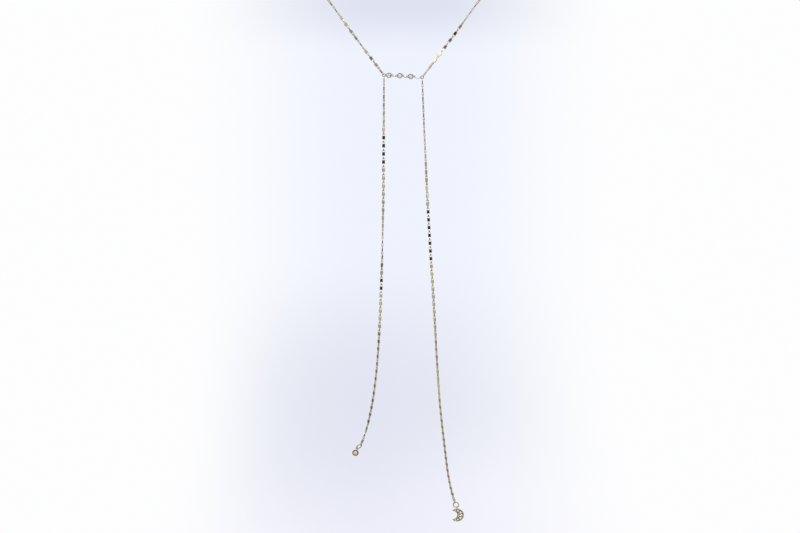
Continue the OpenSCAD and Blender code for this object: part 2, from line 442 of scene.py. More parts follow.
class Skin:
    """A mesh that is put together from rings of points, in millimetres."""

    def __init__(self) -> None:
        """Starts empty."""
        self.points: list[Vector] = []
        self.faces: list[list[int]] = []

    def ring(self, points: Iterable[Vector]) -> list[int]:
        """Adds points.

        Args:
            points: The points in order.

        Returns:
            Their numbers.
        """
        start = len(self.points)
        self.points.extend(Vector(p) for p in points)
        return list(range(start, len(self.points)))

    def join(self, rings: Sequence[list[int]], closed: bool = False) -> None:
        """Spans quads between rings of the same count.

        Args:
            rings: The rings in order.
            closed: Whether the last ring joins the first.
        """
        pairs = list(zip(rings, rings[1:]))
        if closed:
            pairs.append((rings[-1], rings[0]))
        for low, high in pairs:
            count = len(low)
            for k in range(count):
                n = (k + 1) % count
                self.faces.append([low[k], low[n], high[n], high[k]])

    def cap(self, ring: list[int], turned: bool = False) -> None:
        """Closes a ring with one face."""
        self.faces.append(ring[::-1] if turned else list(ring))

    def fan(self, ring: list[int], tip: Vector) -> None:
        """Closes a ring with triangles.

        Args:
            ring: The ring.
            tip: The point where they meet.
        """
        top = self.ring([tip])[0]
        count = len(ring)
        self.faces.extend([ring[k], ring[(k + 1) % count], top] for k in range(count))

    def tube(self, path: Sequence[Vector], radii: Sequence[float], sides: int, closed: bool = True) -> None:
        """Sweeps a round wire along a flat path.

        Args:
            path: The wire's middle line, in one plane.
            radii: The wire's radius at each point.
            sides: Sides of its section.
            closed: Whether the path is a loop.
        """
        count = len(path)
        normal = self._normal(path)
        rings = []
        for k, point in enumerate(path):
            before = path[(k - 1) % count] if closed or k else point
            after = path[(k + 1) % count] if closed or k < count - 1 else point
            along = (after - before).normalized()
            out = along.cross(normal).normalized()
            section = [math.cos(a) * out + math.sin(a) * normal for a in turns(sides)]
            rings.append(self.ring(point + radii[k] * way for way in section))
        self.join(rings, closed)
        if not closed:
            self.cap(rings[0], True)
            self.cap(rings[-1])

    @staticmethod
    def _normal(path: Sequence[Vector]) -> Vector:
        """Finds the plane of a path.

        Args:
            path: Points in one plane.

        Returns:
            The plane's normal.
        """
        total = Vector((0.0, 0.0, 0.0))
        for k in range(1, len(path) - 1):
            total += (path[k] - path[0]).cross(path[k + 1] - path[0])
        return total.normalized()

    def loop(
        self, radius: float, wire: float, middle: Vector, across: Vector, up: Vector, steps: int, sides: int
    ) -> None:
        """Adds a closed round wire, such as an eye or a bail.

        Args:
            radius: Radius of its middle line.
            wire: The wire's own radius.
            middle: Its middle.
            across: First direction in its plane.
            up: Second direction in its plane.
            steps: Steps round it.
            sides: Sides of the wire's section.
        """
        self.tube(circle(radius, steps, middle, across, up), [wire] * steps, sides)

    def strip(self, path: Sequence[Vector], width: Vector, thickness: float) -> None:
        """Sweeps a flat strip along a closed path.

        Args:
            path: The strip's middle line, in a plane across the width.
            width: Half the strip's width, as a vector.
            thickness: Its thickness.
        """
        count = len(path)
        rings = []
        for k, point in enumerate(path):
            along = (path[(k + 1) % count] - path[(k - 1) % count]).normalized()
            out = along.cross(width).normalized() * thickness / 2
            outer = [point + width + out, point - width + out]
            inner = [point - width - out, point + width - out]
            rings.append(self.ring(outer + inner))
        self.join(rings, True)

    def lathe(self, profile: Profile, sides: int, middle: Vector = ORIGIN) -> None:
        """Turns a profile of radius and height about Z, closed at both ends.

        Args:
            profile: Radius and height of each point. The first and last lie on the axis.
            sides: Sides of the turn.
            middle: The shape's origin.
        """
        rings = []
        for radius, height in profile[1:-1]:
            spots = [Vector((radius * math.cos(a), radius * math.sin(a), height)) for a in turns(sides)]
            rings.append(self.ring(middle + spot for spot in spots))
        self.join(rings)
        self.fan(rings[0][::-1], middle + Z * profile[0][1])
        self.fan(rings[-1], middle + Z * profile[-1][1])

    def ball(self, middle: Vector, radius: float, sides: int = 8) -> None:
        """Adds a small bead.

        Args:
            middle: Its middle.
            radius: Its radius.
            sides: Its sides round Z.
        """
        rows = [math.radians(row) for row in (30, 60, 90, 120, 150)]
        belly = [(radius * math.sin(a), radius * math.cos(a)) for a in rows]
        self.lathe([(0.0, radius), *belly, (0.0, -radius)], sides, middle)

    def placed(self, matrix: Matrix) -> Skin:
        """Copies the skin.

        Args:
            matrix: How the copy is turned and moved.

        Returns:
            The copy.
        """
        copy = Skin()
        copy.points = [matrix @ p for p in self.points]
        copy.faces = [list(face) for face in self.faces]
        return copy

    def mesh(self, name: str, sharp: float | None) -> bpy.types.Mesh:
        """Makes the mesh, in metres.

        Args:
            name: Its name.
            sharp: Angle in degrees past which an edge is sharp. None leaves every face flat.

        Returns:
            The mesh, with its faces pointing outwards.
        """
        made = bpy.data.meshes.new(name)
        made.from_pydata([p * MM for p in self.points], [], self.faces)
        work = bmesh.new()
        work.from_mesh(made)
        bmesh.ops.recalc_face_normals(work, faces=work.faces)
        work.to_mesh(made)
        work.free()
        if sharp is not None:
            made.polygons.foreach_set("use_smooth", [True] * len(made.polygons))
            made.set_sharp_from_angle(angle=math.radians(sharp))
        made.update()
        return made


def put(name: str, data: bpy.types.ID) -> bpy.types.Object:
    """Puts an object into the scene.

    Args:
        name: Its name.
        data: Its mesh, light or camera.

    Returns:
        The object.
    """
    made = bpy.data.objects.new(name, data)
    bpy.context.scene.collection.objects.link(made)
    return made


def finish_piece(mesh: bpy.types.Mesh, slot: Slot, finishes: Finishes, *nodes: str) -> None:
    """Makes an object of a mesh and ties it to the frame.

    Args:
        mesh: The mesh, in place.
        slot: Its material slot.
        finishes: The finishes.
        *nodes: The CAD nodes that it stands for.
    """
    piece = put(mesh.name, mesh)
    mesh.materials.clear()
    mesh.materials.append(finishes.of[slot])
    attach(piece, BODY)
    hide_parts(*nodes)
    log.info("%s: %d faces for %s", piece.name, len(mesh.polygons), ", ".join(nodes))


class Repeater:
    """A Geometry Nodes tree that sets a copy of one shape on each point of a mesh."""

    TURN = "lie"
    SIZE = "size"
    ENTRIES = (
        ("Points", "NodeSocketGeometry"),
        ("Shape", "NodeSocketObject"),
        ("Size", "NodeSocketFloat"),
        ("Finish", "NodeSocketMaterial"),
    )

    def __init__(self) -> None:
        """Builds the tree."""
        tree = bpy.data.node_groups.new("set_on_points", "GeometryNodeTree")
        for name, kind in self.ENTRIES:
            tree.interface.new_socket(name, in_out="INPUT", socket_type=kind)
        tree.interface.new_socket("Result", in_out="OUTPUT", socket_type="NodeSocketGeometry")
        graph = Graph(tree)
        source = tree.nodes.new("NodeGroupInput")
        entry = {name: Value(graph, source.outputs[name]) for name, _ in self.ENTRIES}
        shape = graph.add("GeometryNodeObjectInfo", inputs={"Object": entry["Shape"]}, output="Geometry")
        read = "GeometryNodeInputNamedAttribute"
        lie = graph.add(read, {"data_type": "QUATERNION"}, {"Name": self.TURN}, "Attribute")
        sizes = graph.add(read, {"data_type": "FLOAT"}, {"Name": self.SIZE}, "Attribute")
        copies = graph.add(
            "GeometryNodeInstanceOnPoints",
            inputs={
                "Points": entry["Points"],
                "Instance": shape,
                "Rotation": lie,
                "Scale": sizes * entry["Size"],
            },
        )
        whole = graph.add("GeometryNodeRealizeInstances", inputs={"Geometry": copies})
        dressed = graph.add(
            "GeometryNodeSetMaterial", inputs={"Geometry": whole, "Material": entry["Finish"]}
        )
        sink = tree.nodes.new("NodeGroupOutput")
        tree.links.new(dressed.socket, sink.inputs["Result"])
        self.tree = tree

    def run(
        self, name: str, shape: bpy.types.Mesh, places: Sequence[Matrix], material: bpy.types.Material
    ) -> bpy.types.Mesh:
        """Sets the shape at each place and makes the result one plain mesh.

        Args:
            name: Name of the result.
            shape: The mesh that repeats.
            places: Where it goes, in metres. A place's scale sizes its copy.
            material: The finish.

        Returns:
            The mesh.
        """
        points = bpy.data.meshes.new(name + "_points")
        points.from_pydata([p.to_translation() for p in places], [], [])
        lies = points.attributes.new(self.TURN, "QUATERNION", "POINT")
        lies.data.foreach_set("value", [v for p in places for v in p.to_quaternion()])
        sizes = points.attributes.new(self.SIZE, "FLOAT", "POINT")
        sizes.data.foreach_set("value", [p.to_scale().x for p in places])
        carrier = put(name + "_carrier", points)
        pattern = bpy.data.objects.new(name + "_pattern", shape)
        maker = carrier.modifiers.new("set_on_points", "NODES")
        maker.node_group = self.tree
        given = {"Shape": pattern, "Size": 1.0, "Finish": material}
        for item in self.tree.interface.items_tree:
            if item.in_out == "INPUT" and item.name in given:
                maker[item.identifier] = given[item.name]
        depsgraph = bpy.context.evaluated_depsgraph_get()
        made = bpy.data.meshes.new_from_object(carrier.evaluated_get(depsgraph), depsgraph=depsgraph)
        made.name = name
        carrier.modifiers.clear()
        bpy.data.objects.remove(carrier)
        bpy.data.objects.remove(pattern)
        for spare in (self.TURN, self.SIZE):
            if spare in made.attributes:
                made.attributes.remove(made.attributes[spare])
        return made


@dataclass
class ChainLink:
    """One link: an eye with its cross bar at the origin, a mirror plate, and a tongue bent into a loop."""

    wire: float = 0.1
    wire_sides: int = 5
    eye_half: float = 0.6
    eye_round: float = 0.16
    # How far the eye's wire runs into the plate
    foot: float = 0.12
    plate_half: float = 0.725
    plate_top: float = -0.95
    plate_end: float = -2.9
    plate_half_thick: float = 0.25
    plate_corner: float = 0.16
    bevel: float = 0.06
    # Share of an inset that a corner's cut gives up, and of the thickness that lies between the bevels
    corner_share: float = 0.4
    flank_share: float = 0.8
    strip_half: float = 0.19
    strip_thick: float = 0.2
    # Half of the tongue's middle line, as half width and height, from the loop's end up into the plate
    tongue: Profile = (
        (0.0, -4.52), (0.2448, -4.45), (0.34, -4.2), (0.34, -3.55),
        (0.2924, -3.2), (0.136, -2.96), (0.0, -2.82),
    )

    def mesh(self) -> bpy.types.Mesh:
        """Makes the link's mesh.

        Returns:
            The mesh, with the cross bar along X and the chain along -Z.
        """
        skin = Skin()
        self._eye(skin)
        self._plate(skin)
        self._tongue(skin)
        return skin.mesh("chain_link", sharp=34.0)

    def _eye(self, skin: Skin) -> None:
        """Adds the eye's wire, whose ends run into the plate.

        Args:
            skin: The link's skin.
        """
        w, r = self.eye_half, self.eye_round
        half = [(w, self.plate_top - self.foot), (w, -r), (w - 0.3 * r, -0.3 * r), (w - r, 0.0)]
        outline = half + [(-x, z) for x, z in reversed(half)]
        path = [Vector((x, 0.0, z)) for x, z in outline]
        skin.tube(path, [self.wire] * len(path), self.wire_sides, closed=False)

    def _plate(self, skin: Skin) -> None:
        """Adds the plate, with bevelled edges round its two mirror faces.

        Args:
            skin: The link's skin.
        """
        middle = (self.plate_top + self.plate_end) / 2
        reach = (self.plate_top - self.plate_end) / 2
        flank = self.flank_share
        rings = []
        for side, inset in ((-1.0, self.bevel), (-flank, 0.0), (flank, 0.0), (1.0, self.bevel)):
            w, h = self.plate_half - inset, reach - inset
            c = self.plate_corner - inset * self.corner_share
            half = [(w - c, h), (w, h - c), (w, c - h), (w - c, -h)]
            outline = half + [(-x, z) for x, z in reversed(half)]
            depth = side * self.plate_half_thick
            rings.append(skin.ring(Vector((x, depth, middle + z)) for x, z in outline))
        skin.join(rings)
        skin.cap(rings[0], True)
        skin.cap(rings[-1])

    def _tongue(self, skin: Skin) -> None:
        """Adds the tongue, a strip that leaves the plate and closes round the next cross bar.

        Args:
            skin: The link's skin.
        """
        outline = [*self.tongue, *((-y, z) for y, z in reversed(self.tongue[1:-1]))]
        path = [Vector((0.0, y, z)) for y, z in outline]
        skin.strip(path, X * self.strip_half, self.strip_thick)


@dataclass
class ChainStrand:
    """A strand of chain, with a finer link on each of the CAD node's."""

    node: str
    # Half the thickness of a link's cross bar
    cross: float = 0.1
    # How near to a solid's end its width is read, which tells the eye from the loop
    end_reach: float = 0.25

    def places(self) -> list[Matrix]:
        """Finds each link's place from its CAD solid.

        Returns:
            The links' matrices, in metres.
        """
        found = []
        for solid in solids_of(self.node):
            along, across = solid.axes[0], solid.axes[1]
            offsets = solid.points - np.array(solid.middle)
            reach = offsets @ np.array(along)
            wide = np.abs(offsets @ np.array(across))
            top = wide[reach > reach.max() - self.end_reach * MM].max()
            bottom = wide[reach < reach.min() + self.end_reach * MM].max()
            up = along if top > bottom else -along
            height = (offsets @ np.array(up)).max() - self.cross * MM
            turn = Matrix((across, up.cross(across), up)).transposed().to_4x4()
            found.append(Matrix.Translation(solid.middle + up * height) @ turn)
        return found

    def build(self, link: bpy.types.Mesh, repeater: Repeater, finishes: Finishes) -> None:
        """Sets the links and makes the strand one piece."""
        made = repeater.run(self.node + "_links", link, self.places(), finishes.of[Slot.CHAIN])
        finish_piece(made, Slot.CHAIN, finishes, self.node)


@dataclass
class JumpRing:
    """A round wire ring with its soldered seam."""

    node: str
    radius: float
    wire: float
    # Where the seam lies round the ring and how far it spreads, in degrees, and how much it swells the wire
    seam: float = 130.0
    seam_spread: float = 7.0
    seam_swell: float = 0.1
    steps: int = 40
    sides: int = 12

    def build(self, finishes: Finishes) -> None:
        """Makes the ring where its CAD solid lies.

        Args:
            finishes: The finishes.
        """
        lie = solids_of(self.node)[0]
        across, up = lie.axes[0], lie.axes[2].cross(lie.axes[0])
        path = circle(self.radius, self.steps, lie.middle / MM, across, up)
        offsets = [360.0 * k / self.steps - self.seam for k in range(self.steps)]
        ways = [(t + 180.0) % 360.0 - 180.0 for t in offsets]
        swell = [math.exp(-((way / self.seam_spread) ** 2)) for way in ways]
        skin = Skin()
        skin.tube(path, [self.wire * (1.0 + self.seam_swell * s) for s in swell], self.sides)
        finish_piece(skin.mesh(self.node + "_wire", sharp=60.0), Slot.FITTINGS, finishes, self.node)


@dataclass
class BrilliantStone:
    """A round stone with a table, stars, kites and girdle facets, and a pointed back. It faces -Y.

    Its cut repeats eight times round it, and its sizes are shares of its radius.
    """

    fold: int = 8
    table: float = 0.56
    crown: float = 0.3
    girdle: float = 0.03
    depth: float = 0.8
    star: float = 0.79 / math.cos(math.pi / 8) * 0.97
    star_height: float = 0.58
    back: float = 0.42
    back_depth: float = 0.56

    def skin(self) -> Skin:
        """Makes a stone of radius 1 with its girdle at the origin.

        Returns:
            The stone's skin.
        """
        made = Skin()

        def row(radius: float, height: float, count: int, shift: float) -> list[int]:
            """Adds a row of corners."""
            ways = turns(count, shift)
            return made.ring(Vector((radius * math.cos(a), -height, radius * math.sin(a))) for a in ways)

        fold, girdle = self.fold, self.girdle
        top = row(self.table, self.crown, fold, 0.0)
        star = row(self.star, self.crown * self.star_height, fold, 0.5)
        upper = row(1.0, girdle, 2 * fold, 0.0)
        lower = row(1.0, -girdle, 2 * fold, 0.0)
        pavilion = row(self.back, -girdle - (self.depth - girdle) * self.back_depth, fold, 0.5)
        tip = made.ring([Vector((0.0, self.depth, 0.0))])[0]
        made.cap(top)
        for k in range(fold):
            n, near, mid, far = (k + 1) % fold, 2 * k, 2 * k + 1, (2 * k + 2) % (2 * fold)
            made.faces += [[top[k], star[k], top[n]], [top[k], upper[near], star[k]]]
            made.faces += [[top[n], star[k], upper[far]]]
            made.faces += [[star[k], upper[near], upper[mid]], [star[k], upper[mid], upper[far]]]
            made.faces += [[pavilion[k], lower[mid], lower[near]], [pavilion[k], lower[far], lower[mid]]]
            made.faces += [[tip, pavilion[k], lower[near]], [tip, lower[far], pavilion[k]]]
        made.join([upper, lower])
        return made


@dataclass
class StoneField:
    """The stones of one CAD node, each recut in place."""

    node: str
    slot: Slot
    turn: Matrix
    # Share of a stone's radius past which a point lies on its girdle
    rim: float = 0.999

    def places(self) -> list[Matrix]:
        """Finds each stone's girdle from its CAD solid.

        Returns:
            The stones' matrices in metres, with their radius in millimetres as scale.
        """
        found = []
        axis = np.array((self.turn.to_3x3() @ Y)[:])
        for solid in solids_of(self.node):
            offsets = solid.points - np.array(solid.middle)
            height = offsets @ axis
            radial = np.linalg.norm(offsets - height[:, None] * axis, axis=1)
            edge = radial > radial.max() * self.rim
            girdle = (height[edge].max() + height[edge].min()) / 2
            middle = solid.middle + Vector(axis) * float(girdle)
            size = Matrix.Scale(float(radial.max()) / MM, 4)
            found.append(Matrix.Translation(middle) @ self.turn @ size)
        return found

    def build(self, repeater: Repeater, finishes: Finishes) -> None:
        """Cuts the stones and makes them one piece.

        Args:
            repeater: The tree that sets them.
            finishes: The finishes.
        """
        cut = BrilliantStone().skin().mesh("stone_cut", sharp=None)
        made = repeater.run(self.node + "_cut", cut, self.places(), finishes.of[self.slot])
        finish_piece(made, self.slot, finishes, self.node)


@dataclass
class Bezel:
    """A closed round cup whose lip is rubbed over the stone's edge. It faces -Y."""

    outer: float
    stone: float
    sides: int = 48

    def skin(self) -> Skin:
        """Makes the cup with the stone's girdle at the origin.

        Returns:
            The cup's skin.
        """
        o, s = self.outer, self.stone
        bore = s + SEAT_GAP
        back = -s - 0.15
        # Radius and height, from the back over the outside and the lip into the seat
        closed_back = [(0.0, back), (o * 0.56, back), (o * 0.64, back + 0.03), (o * 0.7, back + 0.12)]
        foot = [(o - 0.06, -0.44), (o - 0.01, -0.36), (o, -0.3), (o, -0.16)]
        groove = [(o - 0.035, -0.12), (o - 0.035, -0.06), (o, -0.02)]
        lip = [(o, 0.14), (o - 0.03, 0.22), (o - 0.09, 0.27), (o - 0.16, 0.28), (bore + 0.02, 0.27)]
        rubbed_edge = [(s * 0.965, 0.22), (s * 0.955, 0.17), (bore, 0.1)]
        seat = [(bore, -0.06), (0.1, -0.9 * s), (0.0, -0.9 * s)]
        cup = Skin()
        cup.lathe(closed_back + foot + groove + lip + rubbed_edge + seat, self.sides)
        return cup.placed(FACING)


@dataclass
class BarSetting:
    """One setting of the bar with its two soldered eyes."""

    number: int
    left_eye_flat: bool = False
    outer: float = 1.35
    stone: float = 1.0
    eye: float = 0.45
    wire: float = 0.13
    eye_out: float = 1.65
    # Radius of the solder, and how far inside the cup's wall it sits
    solder: float = 0.17
    solder_in: float = 0.03

    def middle(self) -> Vector:
        """Middle of the stone's girdle, in millimetres."""
        place = StoneField(f"bar_stone_{self.number}", Slot.CLEAR, UPRIGHT).places()[0]
        return place.to_translation() / MM

    def build(self, finishes: Finishes) -> None:
        """Makes the setting.

        Args:
            finishes: The finishes.
        """
        skin = Bezel(self.outer, self.stone).skin()
        for side in (-1, 1):
            flat = self.left_eye_flat and side < 0
            skin.loop(self.eye, self.wire, X * side * self.eye_out, X, Y if flat else Z, steps=24, sides=10)
            skin.ball(X * side * (self.outer - self.solder_in), self.solder)
        placed = skin.placed(Matrix.Translation(self.middle()))
        name = f"bar_setting_{self.number}"
        finish_piece(placed.mesh(name + "_cup", sharp=40.0), Slot.SETTING, finishes, name)


@dataclass
class BarWire:
    """A bowed wire of the bar, with an eye at each end."""

    number: int
    start: Vector
    end: Vector
    bow: float
    eye: float = 0.45
    wire: float = 0.12
    # Radius of the solder, and how far beyond the eye it sits
    solder: float = 0.15
    solder_out: float = 0.03
    steps: int = 14

    def build(self, finishes: Finishes) -> None:
        """Makes the wire between its two hooking points.

        Args:
            finishes: The finishes.
        """
        span = (self.end - self.start).length
        fall = math.atan2(self.start.z - self.end.z, self.end.x - self.start.x)
        bow = math.radians(self.bow)
        radius = (span - 4 * self.eye * math.cos(bow)) / 2 / math.sin(bow)
        skin = Skin()
        for side in (1, -1):
            across = Vector((side * math.cos(bow), 0.0, -math.sin(bow)))
            hook = X * (0.0 if side > 0 else span)
            skin.loop(self.eye, self.wire, hook + across * self.eye, across, Y, steps=24, sides=10)
            skin.ball(hook + across * (2 * self.eye + self.solder_out), self.solder)
        height = radius * math.cos(bow) - 2 * self.eye * math.sin(bow)
        ways = [-math.pi / 2 + bow * (2 * k / self.steps - 1) for k in range(self.steps + 1)]
        arc = [Vector((span / 2 + radius * math.cos(a), 0.0, height + radius * math.sin(a))) for a in ways]
        skin.tube(arc, [self.wire] * len(arc), sides=10, closed=False)
        placed = skin.placed(Matrix.Translation(self.start) @ Matrix.Rotation(fall, 4, "Y"))
        name = f"bar_link_{self.number}"
        finish_piece(placed.mesh(name + "_wire", sharp=60.0), Slot.BAR_WIRE, finishes, name)


@dataclass
class Bar:
    """The short bar between the two junction rings."""

    # Bow of the first two wires, and the angle at which the last one enters its ring, in degrees
    bows: Span = (40.0, 44.0)
    entry: float = 20.0
    ring: float = 0.75

    def build(self, finishes: Finishes, repeater: Repeater) -> None:
        """Makes the settings, their stones and the wires between them.

        Args:
            finishes: The finishes.
            repeater: The tree that sets the stones.
        """
        settings = [BarSetting(1, left_eye_flat=True), BarSetting(2), BarSetting(3)]
        for setting in settings:
            setting.build(finishes)
            StoneField(f"bar_stone_{setting.number}", Slot.CLEAR, UPRIGHT).build(repeater, finishes)
        reach = X * settings[0].eye_out
        middles = [setting.middle() for setting in settings]
        for k, bow in enumerate(self.bows):
            BarWire(k + 1, middles[k] + reach, middles[k + 1] - reach, bow).build(finishes)
        right = solids_of("junction_ring_right")[0].middle / MM
        entry = math.radians(self.entry)
        hook = right - (self.ring - settings[0].eye) * Vector((math.cos(entry), 0.0, math.sin(entry)))
        start = middles[2] + reach
        bow = self.entry + math.degrees(math.atan2(start.z - hook.z, hook.x - start.x))
        BarWire(3, start, hook, bow).build(finishes)


@dataclass
class Hanging:
    """How a drop hangs from the far end of its ring, by a small closed bail. The turns are in degrees."""

    ring_node: str
    ring_lean: float
    lean: float
    bail_turn: float
    ring: float = 1.6
    bail: float = 0.8
    bail_wire: float = 0.18
    # How far the bail's top lies below the ring's middle line, and how far its foot sinks into the drop
    drop: float = 0.2
    sink: float = 0.06
    # Radius of the solder, and how far above the drop's edge it sits
    solder: float = 0.24
    solder_out: float = 0.02

    def turn(self) -> Matrix:
        """The drop's turn."""
        return Matrix.Rotation(math.radians(self.lean), 4, "Y")

    def place(self, reach: float) -> Matrix:
        """Where the drop's middle lies.

        Args:
            reach: The drop's radius at its bail.

        Returns:
            The place in millimetres.
        """
        ring = solids_of(self.ring_node)[0].middle / MM
        far = ring + Matrix.Rotation(math.radians(self.ring_lean), 3, "Y") @ Vector((0.0, 0.0, -self.ring))
        down = Vector((0.0, 0.0, -self.drop - self.bail - reach + self.sink))
        return Matrix.Translation(far) @ self.turn() @ Matrix.Translation(down)

    def add_bail(self, skin: Skin, reach: float) -> None:
        """Adds the closed loop on the drop's top.

        Args:
            skin: The drop's skin.
            reach: The drop's radius at its bail.
        """
        across = Matrix.Rotation(math.radians(self.bail_turn), 3, "Z") @ Y
        middle = Z * (reach + self.bail - self.sink)
        skin.loop(self.bail, self.bail_wire, middle, across, Z, steps=28, sides=10)
        skin.ball(Z * (reach + self.solder_out), self.solder)


@dataclass
class RoundDrop:
    """The small round set stone at the end of the left tail."""

    hanging: Hanging
    outer: float = 1.7
    stone: float = 1.25

    def build(self, finishes: Finishes, repeater: Repeater) -> None:
        """Makes the setting and its stone.

        Args:
            finishes: The finishes.
            repeater: The tree that sets the stone.
        """
        skin = Bezel(self.outer, self.stone).skin()
        self.hanging.add_bail(skin, self.outer)
        placed = skin.placed(self.hanging.place(self.outer))
        cup = placed.mesh("drop_setting_cup", sharp=40.0)
        finish_piece(cup, Slot.SETTING, finishes, "drop_setting")
        StoneField("drop_stone", Slot.WARM, self.hanging.turn()).build(repeater, finishes)


def span_rings(
    work: bmesh.types.BMesh, rings: Sequence[list[bmesh.types.BMVert]], turned: bool = False
) -> None:
    """Spans quads between closed rings of a mesh that is being edited.

    Args:
        work: The mesh.
        rings: The rings in order.
        turned: Whether the quads face the other way.
    """
    for low, high in zip(rings, rings[1:]):
        count = len(low)
        for k in range(count):
            n = (k + 1) % count
            there, back = [low[k], low[n], high[n], high[k]], [low[k], high[k], high[n], low[n]]
            work.faces.new(back if turned else there)


def rim_of(work: bmesh.types.BMesh, ring: list[bmesh.types.BMVert]) -> list[bmesh.types.BMEdge]:
    """The edges of a closed ring."""
    return [work.edges.get((ring[k], ring[(k + 1) % len(ring)])) for k in range(len(ring))]


@dataclass
class MoonDrop:
    """The crescent at the end of the right tail, set with stones between small beads."""

    hanging: Hanging
    radius: float = 3.75
    # Radius of the circle that hollows the crescent, and how far to the left its middle lies
    inner: float = 2.6
    offset: float = 2.4
    outer_steps: int = 57
    inner_steps: int = 41
    thick: float = 1.2
    edge: float = 0.26
    bead: float = 0.115
    # How far the beads' middles lie inside the front face
    bead_in: float = 0.02
    # Sides of a bored seat, width and depth of its countersink, its depth below the front and its limit
    seat_sides: int = 20
    sink_wide: float = 0.045
    sink_deep: float = 0.07
    seat_deep: float = 0.25
    seat_limit: float = 0.75
    # Angle, distance from the middle, and the stone's radius
    seats: tuple[Point, ...] = (
        (-105, 3.02, 0.42), (-79, 2.64, 0.6), (-40, 2.5, 0.74), (0, 2.46, 0.76), (40, 2.5, 0.74),
        (79, 2.64, 0.6), (105, 3.02, 0.42), (-48, 1.2, 0.36), (0, 1.12, 0.4), (48, 1.2, 0.36),
    )
    # Angle and distance from the middle
    beads: tuple[Span, ...] = (
        (-93, 3.12), (-93, 2.1), (-60, 3.1), (-60, 1.84), (-20, 3.1), (-20, 1.84),
        (20, 3.1), (20, 1.84), (60, 3.1), (60, 1.84), (93, 3.12), (93, 2.1),
    )

    def outline(self, inset: float) -> list[Vector]:
        """The crescent's outline drawn in by an inset, from horn to horn and back.

        Args:
            inset: How far inside the full outline.

        Returns:
            Points in X and Z.
        """
        big, small, off = self.radius - inset, self.inner + inset, self.offset
        cut = -(big**2 - small**2 + off**2) / (2 * off)
        horn = math.acos(cut / big)
        lift = math.atan2(big * math.sin(horn), big * math.cos(horn) + off)
        there = np.linspace(-horn, horn, self.outer_steps)
        back = np.linspace(lift, -lift, self.inner_steps)[1:-1]
        outer = [Vector((big * math.cos(a), 0.0, big * math.sin(a))) for a in there]
        return outer + [Vector((small * math.cos(a) - off, 0.0, small * math.sin(a))) for a in back]

    def _plate(self) -> Skin:
        """The crescent's body: a rounded edge, a front with bored seats and a flat back.

        Returns:
            The body's skin.
        """
        work = bmesh.new()
        half, e = self.thick / 2, self.edge
        # Inset and depth of the rounded edge, from the front to the middle of the wall
        edge = [(e, -half), (0.4 * e, -half + 0.2 * e), (0.0, -half + e)]
        layers = edge + [(inset, -depth) for inset, depth in reversed(edge)]
        rings = [[work.verts.new(p + Y * depth) for p in self.outline(inset)] for inset, depth in layers]
        span_rings(work, rings)
        front = rim_of(work, rings[0])
        bmesh.ops.triangle_fill(work, edges=rim_of(work, rings[-1]), use_beauty=True)
        for angle, out, radius in self.seats:
            a = math.radians(angle)
            middle = Vector((out * math.cos(a), 0.0, out * math.sin(a)))
            bore, depth = radius + SEAT_GAP, min(self.seat_limit, radius + self.seat_deep)
            steps = [(bore + self.sink_wide, -half), (bore, -half + self.sink_deep), (bore, -half + depth)]
            circles = [(circle(r, self.seat_sides, middle, X, Z), d) for r, d in steps]
            loops = [[work.verts.new(p + Y * d) for p in points] for points, d in circles]
            span_rings(work, loops, turned=True)
            work.faces.new(loops[-1])
            front += rim_of(work, loops[0])
        bmesh.ops.triangle_fill(work, edges=front, use_beauty=True)
        work.verts.index_update()
        made = Skin()
        made.ring(v.co for v in work.verts)
        made.faces = [[v.index for v in f.verts] for f in work.faces]
        work.free()
        return made

    def build(self, finishes: Finishes, repeater: Repeater) -> None:
        """Makes the crescent with its bail and beads, and its stones.

        Args:
            finishes: The finishes.
            repeater: The tree that sets the stones.
        """
        skin = self._plate()
        front = -self.thick / 2 + self.bead_in
        for angle, far in self.beads:
            a = math.radians(angle)
            skin.ball(Vector((far * math.cos(a), front, far * math.sin(a))), self.bead)
        self.hanging.add_bail(skin, self.radius)
        placed = skin.placed(self.hanging.place(self.radius))
        body = placed.mesh("moon_crescent_body", sharp=34.0)
        finish_piece(body, Slot.CRESCENT, finishes, "moon_crescent")
        StoneField("moon_stones", Slot.CLEAR, self.hanging.turn()).build(repeater, finishes)


@dataclass
class Clasp:
    """The plain closed ring at the nape with its soldered eye."""

    radius: float = 2.5
    wire: float = 0.55
    eye: float = 0.62
    eye_wire: float = 0.2
    # How far the eye sinks into the ring
    eye_in: float = 0.08
    # Radius of the solder, and how far inside the ring's outside it sits
    solder: float = 0.26
    solder_in: float = 0.02

    def build(self, finishes: Finishes) -> None:
        """Makes the clasp between its two jump rings.

        Args:
            finishes: The finishes.
        """
        solid = solids_of("clasp")[0]
        left, right = (solids_of(f"clasp_ring_{side}")[0].middle / MM for side in ("left", "right"))
        across = (right - left).normalized()
        up = Vector(solid.axes[2]).cross(across).normalized()
        reach = float(((solid.points / MM - np.array(left)) @ np.array(across)).max())
        outside = self.radius + self.wire
        middle = left + across * (reach - self.radius - self.wire)
        eye_middle = middle - across * (outside + self.eye - self.eye_in)
        skin = Skin()
        skin.loop(self.radius, self.wire, middle, across, up, steps=64, sides=20)
        skin.loop(self.eye, self.eye_wire, eye_middle, across, up, steps=28, sides=12)
        skin.ball(middle - across * (outside - self.solder_in), self.solder, sides=12)
        finish_piece(skin.mesh("clasp_wire", sharp=60.0), Slot.FITTINGS, finishes, "clasp")


